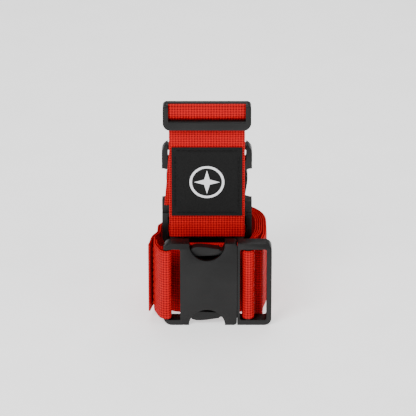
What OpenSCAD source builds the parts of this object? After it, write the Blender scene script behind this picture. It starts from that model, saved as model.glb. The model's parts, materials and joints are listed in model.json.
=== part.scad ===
// A pair of webbing luggage straps, rolled and folded together for storage.
// X runs to the right, Y to the back and Z up, from the ground under the middle of the whole object.
// The coil of the first strap stands with its closed side-release buckle across the front. The second
// strap is a folded bundle that stands in the coil, with a slider on top and its own buckle inside.
// The modules draw the coil's middle at X = 0, Y = 0, and placed() moves it all to the origin.

/* [Webbing] */
// Width of the webbing
web_w = 50; // [44:1:56]
// Thickness of the webbing
web_t = 1.2; // [1:0.05:1.4]
// Air between two layers that lie on each other
web_air = 0.15; // [0.1:0.05:0.25]

/* [Coil] */
// Reach of the coil's outermost layer to the right of the bundle's middle
coil_right = 40.2; // [40:0.2:50]
// Depth of the coil, over its outermost layer
coil_d = 76; // [72:1:100]
// How square the back of the coil is: 2 is an ellipse
back_square = 2.35; // [2:0.05:3]
// How square the front of the coil is, behind the buckle
front_square = 7; // [6:0.5:9]
// How square the inner layers are in front, where they turn in under the bundle
inner_square = 4.6; // [4.6:0.2:7]
// How far the free end of the tail stands off the coil's left side, and its place front to back
tail_end = [-3.65, -39.6]; // [-50:0.05:-3]
// Length of webbing turned under at a hem
hem_len = 12; // [8:1:16]

/* [Buckle] */
// Room for the webbing on each side of it in a buckle or slider
side_room = 1; // [0.5:0.1:2]
// Width of the rails beside the webbing
rail_w = 4; // [3:0.1:6]
// Radius of the corners at the end of the socket
socket_corner = 6; // [3:0.5:6]
// Thickness of the buckle at its middle
buckle_t = 13; // [12:0.5:16]
// Radius of the bulge on the front and back of a buckle
bulge_r = 200; // [150:10:400]
// Length of the socket, from its end bar to its mouth
socket_len = 49; // [46:0.5:60]
// Length of the open frame at the end of the socket
socket_frame = 12; // [11:0.5:14]
// Radius of the finger recesses
arch_r = 12; // [10:0.5:13]
// Distance from the middle of a finger recess to the mouth
arch_to_mouth = 20; // [19:0.5:24]
// Length of the plug's frame outside the mouth
plug_frame = 22.7; // [22:0.1:26]
// Width of the bar at the far end of the plug
outer_bar = 3.3; // [2.5:0.1:5]
// Width of the centre bar that the webbing goes round
centre_bar = 5.5; // [4.5:0.1:6]
// Thickness of the socket's side walls
socket_wall = 4.6; // [3.5:0.1:6]
// Height of the hollow in the socket, front to back
hollow_t = 7; // [6:0.1:8]
// Running clearance round the plug and its prongs in the socket
run_gap = 0.4; // [0.3:0.05:0.6]
// Radius of a prong's root, where it bends
root_r = 2; // [1.8:0.1:2.2]
// Radial clearance of a prong's root in its seat
root_gap = 0.08; // [0.05:0.01:0.1]

/* [Bundle] */
// Height of the slider's lower edge above the ground
slider_bottom = 135.2; // [135:0.2:146]
// Distance from the front of the front layer to the middle of the coil
panel_y = 32; // [28:0.5:32.5]
// Height of the lower fold of the front panel above the top of the coil
fold_rise = 0.4; // [0.4:0.1:8]
// Height of the top fold of the layers behind the front panel
inner_fold_z = 128; // [120:1:131]
// Height of the cut end under the label
cut_end_z = 70.5; // [60:0.5:71]
// Height of the middle of the second buckle's finger recesses
rear_arch_z = 89; // [85:0.5:95]
// Distance from the front of the front layer to the front of the second buckle
rear_gap = 10; // [9.5:0.1:12]
// Number of folded layers at the back of the bundle
stack_layers = 13; // [5:2:15]
// Height of the folded layers at the back
stack_h = 112; // [90:1:114]
// Height of the hemmed end in front of the second buckle
flap_end_z = 76; // [72:1:100]

/* [Slider] */
// Room for the webbing on each side of it in the slider
slider_room = 0.4; // [0.3:0.1:1]
// Height of the slider
slider_h = 18.4; // [16:0.2:22]
// Radius of the slider's upper corners
slider_top_r = 3.2; // [2:0.2:3.2]
// Radius of the slider's lower corners
slider_low_r = 6; // [3:0.5:6.5]
// Thickness of the slider's centre bar
slider_bar_t = 3; // [2.4:0.1:3.4]

/* [Label] */
// Width of the label
label_w = 46.8; // [36:0.2:50]
// Height of the label
label_h = 49.2; // [40:0.2:50]
// Thickness of the label
label_t = 1.1; // [0.8:0.1:1.4]
// Distance from the label's edge to its stitching
stitch_in = 2.4; // [1.5:0.1:4]
// Length of a stitch
stitch_len = 2.4; // [1.5:0.1:3]
// Distance between the starts of two stitches
stitch_step = 3.4; // [3.1:0.1:5]
// Thickness of the thread
thread_t = 0.5; // [0.4:0.05:0.7]
// Outer radius of the printed emblem
emblem_r = 11.5; // [8:0.5:14]
// Thickness of the printed emblem
emblem_t = 0.25; // [0.2:0.05:0.4]

/* [Hidden] */
$fn = 48;
red = "#D3141C";
black = "#2B2B2B";
white = "#F2F2F2";

pitch = web_t + web_air;
layers = 6;
window_w = web_w + 2 * side_room;
buckle_w = window_w + 2 * rail_w;
buckle_z = buckle_w / 2;
web_z = buckle_z - web_w / 2;
// The coil leans back a little, so that its far side touches the ground
coil_lean = atan((web_z - 0.1) / coil_d);
// The first layer is the innermost; its middle line is at these half sizes
first_w = coil_right - web_t / 2 - (layers - 1) * pitch;
left_w = web_w / 2 + 3.6;
first_d = (coil_d - web_t) / 2 - (layers - 1) * pitch;
buckle_y = -coil_d / 2 - 1.5 - buckle_t;
loop_plane = -coil_d / 2 + 1.4;

// Places along a buckle: 0 is the middle of the finger recesses, and the plug is on the right
mouth = arch_to_mouth;
socket_end = mouth - socket_len;
shield_end = socket_end + socket_frame;
end_bar = 4;
end_bar_y = [2, 9];
plug_start = mouth + 0.3;
plug_end = plug_start + plug_frame;
window_start = plug_start + 1.6;
window_end = plug_end - outer_bar;
bar_mid = window_start + 1.6 + web_t + centre_bar / 2;
bar_y = [2.2, 8.7];
hollow_half = buckle_w / 2 - socket_wall;
hollow_y = (buckle_t - hollow_t) / 2;
hollow_back = -arch_r - 2.5;
prong_y = hollow_y + run_gap;
prong_t = hollow_t - 2 * run_gap;
root = [mouth - 1, hollow_half - 2.7];
seat_face = root[0] - 0.8;

front_y = -panel_y;
rear_y = panel_y - rear_gap;
fold_bottom = web_z + web_w + fold_rise;
loop_line = inner_fold_z + 4;
label_top = cut_end_z + 2 + label_h;
stack_y = -rear_y + buckle_t + 3.2;
// The left-hand side of the coil at the front, beside the end of the socket
loop_side = socket_end - 5.95;
tail_tip = [loop_side + tail_end[0], tail_end[1]];
// The middle of the whole object, from its left, right, front and back
back_y = loop_plane + (coil_d / 2 - loop_plane) * cos(coil_lean) + web_w * sin(coil_lean);
origin_x = (plug_end + tail_tip[0] - web_t / 2) / 2;
origin_y = (buckle_y + back_y) / 2;
split_z = rear_arch_z - mouth - 0.8;
// The bars of the slider share its height out
lower_bar = 0.38 * slider_h;
slider_bar_h = 0.62 * slider_h - 5.4;
slider_z = slider_bottom + lower_bar + 0.9 + slider_bar_h / 2;
// Where the folded layers turn in, to the second buckle's plug
turn_in_y = -rear_y - web_air - web_t / 2;
flap_y = -rear_y - 0.3 - web_t / 2;
// Angles round the coil, in steps that line its layers' corners up
turn_step = 4;
lead_angle = -12;
outer_fold = 128;
inner_fold = 112;
front_fold = -40;
first_fold = -120;
side_angle = 164;
// The innermost layer's way forward on the left, past the stack and the second buckle
plug_side = -buckle_w / 2 - 1.2;
left_way = [
    [-web_w / 2 - 2.5, 27 - rear_y], [-web_w / 2 - 2.8, 20.5 - rear_y], [plug_side, 14.2 - rear_y],
    [plug_side - 0.3, 2 - rear_y], [loop_side, -6 - rear_y]
];
bend_steps = 6;

// Points of an arc about c, from angle a0 to a1
function arc(c, r, a0, a1, n = bend_steps) =
    [for (i = [0:n]) c + r * [cos(a0 + (a1 - a0) * i / n), sin(a0 + (a1 - a0) * i / n)]];
function across(p, i) =
    let (d = p[min(i + 1, len(p) - 1)] - p[max(i - 1, 0)]) [-d[1], d[0]] / norm(d);
function beside(p, h) = [for (i = [0:len(p) - 1]) p[i] + h * across(p, i)];
function backwards(p) = [for (i = [len(p) - 1:-1:0]) p[i]];
// A point of the coil's layer k, at angle a
function power(v, square) = sign(v) * pow(abs(v), 2 / square);
// Layers 4 and 5 run on to the plug, and the others turn in under the bundle
function squareness(a, k) = sin(a) >= 0 ? back_square : k < 3.5 ? inner_square : front_square;
function ring(a, k) = let (square = squareness(a, k), wide = cos(a) > 0 ? first_w : left_w)
    [(wide + pitch * k) * power(cos(a), square), (first_d + pitch * k) * power(sin(a), square)];
// Part of a turn, from angle a0 to a1; its layer changes evenly from k0 to k1
function turn(a0, a1, k0, k1) = let (n = ceil(abs(a1 - a0) / turn_step))
    [for (i = [0:n]) ring(a0 + (a1 - a0) * i / n, k0 + (k1 - k0) * i / n)];
// The same without its start
function onward(a0, a1, k0, k1) = let (t = turn(a0, a1, k0, k1)) [for (i = [1:len(t) - 1]) t[i]];
// The middle of a fold from a to b; the side is 1 where it bulges to the right of the line from b to a
function fold(a, b, s) = let (c = (a + b) / 2, r = (a - b) / 2)
    [for (i = [1:bend_steps - 1]) let (t = 180 * i / bend_steps) c + r * cos(t) + s * [r[1], -r[0]] * sin(t)];

// The origin is under the middle of the whole object
module placed() {
    translate([-origin_x, -origin_y, 0]) children();
}
module webbing() {
    color(red) placed() children();
}
module plastic() {
    color(black) placed() children();
}

// A band of webbing seen on edge
module strip(path, t = web_t) {
    polygon(concat(beside(path, t / 2), backwards(beside(path, -t / 2))));
}

// A band that stands upright, as in the coil
module upright(path, z = web_z, w = web_w) {
    translate([0, 0, z]) linear_extrude(w) strip(path);
}

// A band that hangs, with its path in Y and Z
module hanging(path, w = web_w, t = web_t) {
    rotate([90, 0, 90]) translate([0, 0, -w / 2]) linear_extrude(w) strip(path, t);
}

// The lean of the coil
module leaned() {
    translate([0, loop_plane, web_z]) rotate([-coil_lean, 0, 0]) translate([0, -loop_plane, -web_z])
        children();
}

// A rectangle with round corners, from corner a to corner b
module rounded(a, b, r) {
    translate(a + [r, 0]) square([b[0] - a[0] - 2 * r, b[1] - a[1]]);
    translate(a + [0, r]) square([b[0] - a[0], b[1] - a[1] - 2 * r]);
    for (x = [a[0] + r, b[0] - r], y = [a[1] + r, b[1] - r]) translate([x, y]) circle(r);
}

// ---- Buckle, lying along X with its front at Y = 0 and its middle at Z = 0 ----

// An outline in X and Z, cut through the whole thickness
module through(y0 = 0, y1 = buckle_t) {
    translate([0, y1, 0]) rotate([90, 0, 0]) linear_extrude(y1 - y0) children();
}

// The bulging section that the socket and the plug's frame share
module bulging(x0, x1) {
    translate([x0, 0, 0]) rotate([90, 0, 90]) linear_extrude(x1 - x0) intersection() {
        translate([bulge_r, 0]) circle(bulge_r, $fn = 360);
        translate([buckle_t - bulge_r, 0]) circle(bulge_r, $fn = 360);
        translate([0, -buckle_w / 2]) square([buckle_t, buckle_w]);
    }
}

// A round-edged bar along Z
module bar(x, y, w, half) {
    translate([0, 0, -half]) linear_extrude(2 * half)
        rounded([x - w / 2, y[0]], [x + w / 2, y[1]], w / 2 - 0.2);
}

module socket() {
    difference() {
        intersection() {
            bulging(socket_end, mouth);
            through() union() {
                rounded([shield_end, -buckle_w / 2], [mouth, buckle_w / 2], 2.5);
                rounded([socket_end, -buckle_w / 2], [shield_end + 6, buckle_w / 2], socket_corner);
            }
        }
        through(-1, buckle_t + 1)
            rounded([socket_end - 1, -window_w / 2], [shield_end - 0.8, window_w / 2], 0.8);
        translate([hollow_back, hollow_y, -hollow_half])
            cube([mouth - hollow_back + 1, hollow_t, 2 * hollow_half]);
        for (z = [-1, 1] * buckle_w / 2) translate([0, -1, z]) rotate([-90, 0, 0])
            cylinder(r = arch_r, h = buckle_t + 2);
    }
    bar(socket_end + end_bar / 2, end_bar_y, end_bar, window_w / 2 + 0.5);
}

// The hollows that the roots of the prongs sit in
module prong_seats() {
    for (s = [-1, 1]) translate([root[0], prong_y - 0.1, s * root[1]]) rotate([-90, 0, 0])
        cylinder(r = root_r + root_gap, h = prong_t + 0.2);
}

module plug() {
    difference() {
        intersection() {
            bulging(plug_start, plug_end);
            through() rounded([plug_start - 6, -buckle_w / 2], [plug_end, buckle_w / 2], 5);
        }
        prong_seats();
        through(-1, buckle_t + 1)
            rounded([window_start, -window_w / 2], [window_end, window_w / 2], 1.5);
    }
    bar(bar_mid, bar_y, centre_bar, window_w / 2 + 0.5);
    // The block inside the mouth
    difference() {
        translate([seat_face, prong_y, -hollow_half + run_gap])
            cube([plug_start + 0.5 - seat_face, prong_t, 2 * (hollow_half - run_gap)]);
        prong_seats();
    }
    // The tongue that guides the plug
    through(prong_y + 0.6, prong_y + prong_t - 0.6) rounded([-8, -7], [seat_face + 1, 7], 2);
    through(prong_y, prong_y + prong_t) rounded([seat_face - 5, -12], [seat_face + 1, 12], 2);
}

// One prong, with side = 1 above and -1 below
module prong(side) {
    h = hollow_half;
    neck = root[1];
    outline = [
        [root[0] - 1, neck + 1.3], [root[0] - 2.6, neck + 1.7], [8.8, h - 0.9], [8, h + 0.1],
        [4, h + 0.7], [0, h + 1.35], [-4, h + 1.7], [-7, h + 1.65], [-9.6, h + 1],
        [-11, h - 0.4], [-12, h - 2], [-12, h - 3.9], [-10.5, h - 4.8], [-4, h - 5],
        [8, h - 4.4], [root[0] - 2.6, neck - 1.7], [root[0] - 1, neck - 1.3]
    ];
    mirror([0, 0, side < 0 ? 1 : 0]) through(prong_y, prong_y + prong_t) union() {
        polygon(outline);
        translate(root) circle(root_r);
    }
}

// The first buckle lies across the front of the coil, and the second hangs inside with its plug below
module at_front() {
    translate([0, buckle_y, buckle_z]) children();
}
module at_rear() {
    translate([0, -rear_y, rear_arch_z]) rotate([0, 90, 0]) children();
}

module front_buckle_socket() plastic() at_front() socket();
module front_buckle_plug() plastic() at_front() plug();
module front_prong_top() plastic() at_front() prong(1);
module front_prong_bottom() plastic() at_front() prong(-1);
module rear_buckle_socket() plastic() at_rear() socket();
module rear_buckle_plug() plastic() at_rear() plug();
module rear_prong_right() plastic() at_rear() prong(1);
module rear_prong_left() plastic() at_rear() prong(-1);

// ---- First strap ----

// Layer 4 starts at the plug and folds at the back into layer 3. Layers 3 to 0 go to and fro on the
// right between folds, 1 and 0 also across the front, and layer 0 goes on round the back and forward
// on the left, to the socket
module coil_webbing() {
    webbing() leaned() upright(concat(
        lead(4),
        turn(lead_angle, outer_fold, 4, 4),
        fold(ring(outer_fold, 4), ring(outer_fold, 3), -1),
        turn(outer_fold, front_fold, 3, 3),
        fold(ring(front_fold, 3), ring(front_fold, 2), 1),
        turn(front_fold, inner_fold, 2, 2),
        fold(ring(inner_fold, 2), ring(inner_fold, 1), -1),
        turn(inner_fold, first_fold, 1, 1),
        fold(ring(first_fold, 1), ring(first_fold, 0), 1),
        turn(first_fold, side_angle, 0, 0),
        left_way
    ));
}

// The start of a layer that comes from the plug
function lead(k) = [[ring(lead_angle, k)[0] - 2.4, loop_plane]];

// The tail draws in to the innermost layer, lies on it down the left side and stands off at its end
tail_way = concat(
    [for (i = [0:3]) beside(left_way, -pitch - 0.15)[i]],
    [[loop_side - 1.2, -5 - rear_y], tail_tip]
);
module coil_tail() {
    webbing() leaned() upright(concat(
        lead(5), turn(lead_angle, outer_fold, 5, 5),
        onward(outer_fold, side_angle, 5, 1.15),
        tail_way
    ));
}

module tail_hem_stitching() {
    from = tail_way[len(tail_way) - 2];
    flare = atan2(tail_tip[0] - from[0], tail_tip[1] - from[1]);
    webbing() leaned() translate(tail_tip) rotate(-flare) for (i = [0:11])
        translate([web_t / 2, 2 - hem_len, web_z + 4 + i * 3.6])
            cube([thread_t / 2, thread_t, stitch_len]);
}

// Round the socket's end bar and back to the left-hand side of the coil
module front_socket_loop() {
    bar_x = socket_end + end_bar / 2;
    y0 = buckle_y + end_bar_y[0] - web_air - web_t / 2;
    y1 = buckle_y + end_bar_y[1] + web_air + web_t / 2;
    r = end_bar / 2 + web_air + web_t / 2;
    y2 = -coil_d / 2;
    webbing() upright(concat(
        [[loop_side, left_way[4][1] - 0.1], [loop_side, y2]],
        [[(loop_side + bar_x) / 2 - 2, y2 - 6], [bar_x - 4.2, y0 + 2.6], [bar_x - 2, y0 + 0.5]],
        arc([bar_x, y0 + r], r, 270, 360),
        arc([bar_x, y1 - r], r, 0, 90),
        [[bar_x - 2, y1 + 0.4], [loop_side + pitch + 1, y2 - 1.6]],
        [[loop_side + pitch, y2 + 0.6], [loop_side + pitch, y2 + 5]]
    ));
}

module front_loop_stitching() {
    webbing() for (i = [0:9], j = [1, 4, 7])
        translate([loop_side - web_t / 2 - thread_t / 2, j - coil_d / 2, web_z + 4 + i * 4.4])
            cube([thread_t / 2, thread_t, stitch_len]);
}

// Round the plug's centre bar; both ends pass behind the slot beside it to the right-hand side of the coil
module front_plug_loop() {
    y0 = buckle_y + bar_y[0] - web_air - web_t / 2;
    y1 = buckle_y + bar_y[1] + web_air + web_t / 2;
    r = centre_bar / 2 + web_air + web_t / 2;
    outer = lead(5)[0][0];
    inner = lead(4)[0][0];
    end_y = loop_plane - 0.3;
    back = buckle_y + buckle_t + web_t / 2 + 0.1;
    side = bar_mid + r;
    webbing() upright(concat(
        [[outer, end_y], [outer - 0.1, back + 1], [outer - 1, back + 0.1], [side + 2, back]],
        [[side + 0.5, back - 1.4], [side + 0.1, back - 3]],
        arc([bar_mid, y0 + r], r, 0, -180, 12),
        arc([bar_mid, y1 - r], r, 180, 100, 5),
        [[bar_mid + 0.9, y1 + 0.4], [side - 1.2, y1 + 2.4], [side - 0.3, back + 0.6]],
        [[side + 1.2, back + pitch + 0.1], [inner, back + pitch + 0.1]]
    ));
}

// ---- Second strap ----

module label_layer() {
    y = front_y + web_t / 2;
    webbing() hanging([[y, cut_end_z], [y, (cut_end_z + loop_line) / 2], [y, loop_line]]);
}

// From the slider down, under, up and down again to the second buckle
module folded_layers() {
    y2 = front_y + web_t / 2 + pitch;
    low = fold_bottom + web_t / 2 + pitch / 2;
    webbing() hanging(concat(
        [[y2, loop_line]],
        arc([y2 + pitch / 2, low], pitch / 2, 180, 360),
        arc([y2 + 1.5 * pitch, inner_fold_z - web_t], pitch / 2, 180, 0),
        [[y2 + 2 * pitch, flap_end_z - 0.5], [turn_in_y, split_z + 0.4], [turn_in_y, split_z]]
    ));
}

module label_patch() {
    color("#222222") placed() translate([-label_w / 2, front_y - label_t, label_top - label_h])
        cube([label_w, label_t, label_h]);
}

module label_stitching() {
    wide = label_w - 2 * stitch_in;
    high = label_h - 2 * stitch_in;
    across_n = floor((wide - stitch_len) / stitch_step);
    up_n = floor((high - stitch_len) / stitch_step);
    y = front_y - label_t - thread_t / 2;
    color("#0E0E0E") placed() translate([0, y, label_top - label_h / 2]) {
        for (i = [0:across_n], s = [-1, 1])
            translate([(i - across_n / 2) * stitch_step - stitch_len / 2, 0, s * high / 2 - thread_t / 2])
                cube([stitch_len, thread_t / 2, thread_t]);
        for (i = [1:up_n - 1], s = [-1, 1])
            translate([s * wide / 2 - thread_t / 2, 0, (i - up_n / 2) * stitch_step - stitch_len / 2])
                cube([thread_t, thread_t / 2, stitch_len]);
    }
}

// A plain compass rose
module label_emblem() {
    color(white) placed() translate([0, front_y - label_t - emblem_t, label_top - label_h / 2]) through(0, emblem_t) {
        difference() {
            circle(emblem_r);
            circle(emblem_r - 1.6);
        }
        polygon([for (i = [0:7]) (i % 2 == 0 ? emblem_r - 3 : 2.6) * [sin(i * 45), cos(i * 45)]]);
    }
}

// The folded layers stand on the ground, one behind another
module folded_stack() {
    low = web_t / 2 + pitch / 2;
    high = stack_h - web_t / 2 - pitch / 2;
    webbing() hanging(concat(
        [[stack_y, split_z + pitch]],
        [for (i = [0:stack_layers - 2]) let (y = stack_y + (i + 0.5) * pitch)
            each i % 2 == 0 ? arc([y, high], pitch / 2, 180, 0, 4) : arc([y, low], pitch / 2, 180, 360, 4)],
        [[stack_y + (stack_layers - 1) * pitch, stack_h - 2]]
    ));
}

// From the last folded layer forward over the others to the second buckle
module stack_lead_in() {
    back = stack_y + (stack_layers - 1) * pitch;
    bar_z = rear_arch_z - socket_end - end_bar / 2;
    webbing() hanging(concat(
        [[back, stack_h - 1.7]],
        arc([back - 3, stack_h + 2.4], 3, 0, 90, 5),
        [[stack_y - 1, bar_z + 2.2]]
    ));
}

// Round the second buckle's end bar, then over and down to a hem in front of it
module rear_socket_loop() {
    bar_z = rear_arch_z - socket_end - end_bar / 2;
    r = end_bar / 2 + web_air + web_t / 2;
    y0 = -rear_y + end_bar_y[0] - web_air - web_t / 2;
    y1 = -rear_y + end_bar_y[1] + web_air + web_t / 2;
    turn_r = (y0 - flap_y) / 2;
    webbing() hanging(concat(
        [[stack_y - 1.3, bar_z + 2.2], [y1 + 2, bar_z + 1.8], [y1 + 0.3, bar_z + 0.8]],
        arc([y1 - r, bar_z], r, 0, -90),
        arc([y0 + r, bar_z], r, 270, 180),
        arc([flap_y + turn_r, bar_z + 0.8], turn_r, 0, 180),
        [[flap_y, flap_end_z]]
    ));
}

module flap_hem_stitching() {
    webbing() for (i = [0:10])
        translate([-24 + i * 4.2, flap_y - web_t / 2 - thread_t, flap_end_z + hem_len - 2])
            cube([stitch_len, thread_t, thread_t]);
}

// Down over the plug's centre bar, through the slot below it and up behind the plug
module rear_plug_loop() {
    bar_z = rear_arch_z - bar_mid;
    y0 = -rear_y + bar_y[0] - web_air - web_t / 2;
    y1 = -rear_y + bar_y[1] + web_air + web_t / 2;
    r = centre_bar / 2 + web_air + web_t / 2;
    webbing() hanging(concat(
        [[turn_in_y, split_z - 0.3], [y0 - 1.9, bar_z + 2.1], [y0 - 0.2, bar_z + 0.8]],
        arc([y0 + r, bar_z], r, 180, 270),
        arc([y1 - r, bar_z], r, 270, 360),
        [[y1 + 0.5, bar_z + 1.5], [y1 + 3, bar_z + 3.6], [stack_y - 0.7, split_z - 1.8], [stack_y, split_z - 0.3]]
    ));
}

// ---- Slider ----

// The end of the webbing, round the slider's centre bar
module slider_loop() {
    y1 = front_y + web_t / 2;
    y2 = y1 + pitch;
    mid = (y1 + y2) / 2;
    r = slider_bar_t / 2 + web_air + web_t / 2;
    up = slider_bar_h / 2 - slider_bar_t / 2;
    webbing() hanging(concat(
        [[y1, loop_line + 1], [y1, loop_line + 4]],
        [[mid - r, slider_z - up]],
        arc([mid, slider_z + up], r, 180, 0, 8),
        [[mid + r, slider_z - up]],
        [[y2, loop_line + 4], [y2, loop_line + 1]]
    ));
}

module slider_frame() {
    mid = front_y + web_t / 2 + pitch / 2;
    half = web_w / 2 + slider_room;
    top = slider_bottom + slider_h;
    low_y = front_y - 5.3;
    plastic() intersection() {
        union() {
            for (s = [-1, 1]) translate([s * (half + 1.8) - 1.8, 0, 0]) rotate([90, 0, 90]) linear_extrude(3.6)
                rounded([low_y, slider_bottom], [mid + 2.2, top], 2);
            translate([-half - 1.8, 0, 0]) rotate([90, 0, 90]) linear_extrude(2 * half + 3.6) {
                rounded([low_y, slider_bottom], [low_y + 4.2, slider_bottom + lower_bar], 1.4);
                rounded([mid - 2.2, top - 3], [mid + 2.2, top], 1.2);
                rounded([mid - slider_bar_t / 2, slider_z - slider_bar_h / 2],
                    [mid + slider_bar_t / 2, slider_z + slider_bar_h / 2], slider_bar_t / 2 - 0.1);
            }
        }
        through(low_y - 1, mid + 3) {
            rounded([-half - 3.6, slider_bottom + slider_low_r + 1], [half + 3.6, top], slider_top_r);
            rounded([-half - 3.6, slider_bottom], [half + 3.6, top - slider_top_r - 1], slider_low_r);
        }
    }
}

coil_webbing();
coil_tail();
tail_hem_stitching();
front_socket_loop();
front_loop_stitching();
front_buckle_socket();
front_buckle_plug();
front_plug_loop();
front_prong_top();
front_prong_bottom();
label_layer();
folded_layers();
label_patch();
label_stitching();
label_emblem();
rear_buckle_socket();
rear_socket_loop();
flap_hem_stitching();
folded_stack();
stack_lead_in();
rear_buckle_plug();
rear_plug_loop();
rear_prong_left();
rear_prong_right();
slider_frame();
slider_loop();
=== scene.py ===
"""Looks of a pair of luggage straps packed for storage: one rolled into a coil, one folded inside it.

Lengths inside the drawing functions are in millimetres,
in the coil's own frame, whose middle is at X = 0, Y = 0; placed() takes them to metres in the part's frame.
"""

import json
import math

import bmesh
import bpy
import numpy as np
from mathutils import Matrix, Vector


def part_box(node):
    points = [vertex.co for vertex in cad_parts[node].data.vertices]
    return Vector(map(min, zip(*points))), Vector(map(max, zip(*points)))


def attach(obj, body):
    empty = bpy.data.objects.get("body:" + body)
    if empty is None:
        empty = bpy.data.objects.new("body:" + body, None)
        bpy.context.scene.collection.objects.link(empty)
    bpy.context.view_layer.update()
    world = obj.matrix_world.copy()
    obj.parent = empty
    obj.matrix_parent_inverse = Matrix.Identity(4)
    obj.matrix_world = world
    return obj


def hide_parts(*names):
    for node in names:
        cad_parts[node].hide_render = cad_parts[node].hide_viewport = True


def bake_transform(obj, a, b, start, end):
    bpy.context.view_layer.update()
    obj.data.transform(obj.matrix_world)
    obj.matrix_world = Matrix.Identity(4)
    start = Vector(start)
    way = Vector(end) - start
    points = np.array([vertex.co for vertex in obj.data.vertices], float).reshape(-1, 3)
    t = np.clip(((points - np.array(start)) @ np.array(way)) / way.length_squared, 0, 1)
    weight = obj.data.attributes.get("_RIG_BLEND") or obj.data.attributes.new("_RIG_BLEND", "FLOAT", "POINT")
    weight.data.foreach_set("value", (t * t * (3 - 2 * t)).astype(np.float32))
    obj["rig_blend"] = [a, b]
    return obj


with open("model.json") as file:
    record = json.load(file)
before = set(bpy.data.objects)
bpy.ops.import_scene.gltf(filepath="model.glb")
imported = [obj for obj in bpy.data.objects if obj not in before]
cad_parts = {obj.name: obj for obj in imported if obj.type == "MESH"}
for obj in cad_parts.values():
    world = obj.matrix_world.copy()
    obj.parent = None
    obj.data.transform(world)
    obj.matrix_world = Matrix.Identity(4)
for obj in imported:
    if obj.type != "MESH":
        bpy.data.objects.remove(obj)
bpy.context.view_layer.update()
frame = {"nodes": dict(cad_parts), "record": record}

bl_info = {
    "name": "Packed luggage straps",
    "version": (1, 0, 0),
    "blender": (4, 5, 0),
    "location": "View3D > Sidebar > Straps",
    "description": "Builds the webbing, buckles, label and slider of a packed pair of luggage straps",
    "category": "Object",
}

MM = 0.001
WEAVE = "Weave"
KINDS = ("webbing", "coil", "buckle", "label")

# Heights at which the second strap's pieces meet, and the part's own places on the buckles, in mm
FOLDS_JOIN = 100.0
PLUG_SPLIT = 68.0
END_BAR_IN = 2.0
PLUG_BAR_IN = 15.55
END_BAR_R = 2.0
PLUG_BAR_R = 2.75
TURN_STEP = 4
# The angle at which the coil's two outer layers let go of it, to follow the plug, and where they fold back
LET_GO, FOLD_SIDE = 12, 128
# How far the coil's webbing slips down behind the buckle, in mm
SLIP = 4.2
# Points round the webbing's section, on the pieces in front and on the others
FINE, COARSE = 236, 118


# ---- Sizes and colours that a user would change ----

def length(name, text, value):
    return bpy.props.FloatProperty(name=name, description=text, default=value, unit="LENGTH", precision=5)


def colour(name, text, value):
    return bpy.props.StringProperty(name=name, description=text + ", as an sRGB hex value", default=value)


class StrapWebbing(bpy.types.PropertyGroup):
    """Sizes and colours of the webbing"""
    width: length("Width", "Width of the webbing", 0.050)
    thickness: length("Thickness", "Thickness of the webbing", 0.0012)
    air: length("Air", "Air between two layers that lie on each other", 0.00015)
    rib: length("Rib", "Distance between two ribs, across the webbing", 0.00179)
    pick: length("Pick", "Distance between two picks of the weave, along the webbing", 0.0017)
    rib_relief: length("Rib relief", "How far the ribs stand out", 0.00006)
    pick_relief: length("Pick relief", "How far the picks stand out on the front pieces", 0.00009)
    red: colour("Red", "Colour of the dyed polyester yarn", "#B4000A")
    # Painted shade: this darker red is painted between the yarns, where shade falls
    painted_shade_red: colour("Painted shade red", "Painted shade between the yarns", "#5E0006")
    # Painted highlight: this colour is painted on the yarns' crowns, where they catch the light
    glint: colour("Glint", "Colour of the yarns' crowns, where they catch the light", "#DE1A14")


class StrapCoil(bpy.types.PropertyGroup):
    """Sizes of the coil, as the part has them"""
    right: length("Right", "Reach of the outermost layer to the right of the bundle's middle", 0.0402)
    depth: length("Depth", "Depth over the outermost layer", 0.076)
    layers: bpy.props.IntProperty(name="Layers", description="Number of layers", default=6, min=6, max=6)
    back_square: bpy.props.FloatProperty(name="Back", description="How square the back is", default=2.35)
    front_square: bpy.props.FloatProperty(name="Front", description="How square the front is", default=7.0)
    inner_square: bpy.props.FloatProperty(
        name="Inner front", description="How square the inner layers are in front", default=4.6)


class StrapBuckle(bpy.types.PropertyGroup):
    """Sizes and colours of the moulded pieces"""
    edge: length("Edge", "Radius of the moulded edges", 0.00055)
    rim: length("Rim", "Radius of the rims round the finger recesses", 0.0011)
    black: colour("Black", "Colour of the moulded acetal", "#0C0C0C")
    grain: length("Grain", "Size of the mould's spark-eroded grain", 0.00045)


class StrapLabel(bpy.types.PropertyGroup):
    """Sizes and colours of the label"""
    stitch_in: length("Seam", "Distance from the label's edge to its seam", 0.0024)
    stitch: length("Stitch", "Length of a stitch", 0.0024)
    stitch_step: length("Stitch step", "Distance between the starts of two stitches", 0.0034)
    thread: length("Thread", "Thickness of the thread", 0.0005)
    black: colour("Black", "Colour of the coated face", "#141414")
    edge: colour("Edge", "Colour of the cut edges", "#101B1B")
    white: colour("White", "Colour of the printed emblem", "#F1F1F4")


GROUPS = (StrapWebbing, StrapCoil, StrapBuckle, StrapLabel)


def sizes(kind):
    """The scene's settings of one kind, such as webbing."""
    return getattr(bpy.context.scene, "strap_" + kind)


# ---- Places, from the frame ----

def mm_box(node):
    """Lowest and highest corners of a CAD node, in mm in the coil's frame."""
    low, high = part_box(node)
    return (np.array(low) / MM - ORIGIN, np.array(high) / MM - ORIGIN)


# The label layer is centred on the coil in X, and its front is this far in front of the coil's middle
PANEL_TO_MIDDLE = 32.0
_low, _high = (np.array(c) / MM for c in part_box("label_layer"))
ORIGIN = np.array([(_low[0] + _high[0]) / 2, _low[1] + PANEL_TO_MIDDLE, 0.0])


def placed(points):
    """Points in mm in the coil's frame, as metres in the part's frame."""
    return (np.asarray(points, float) + ORIGIN) * MM


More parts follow.
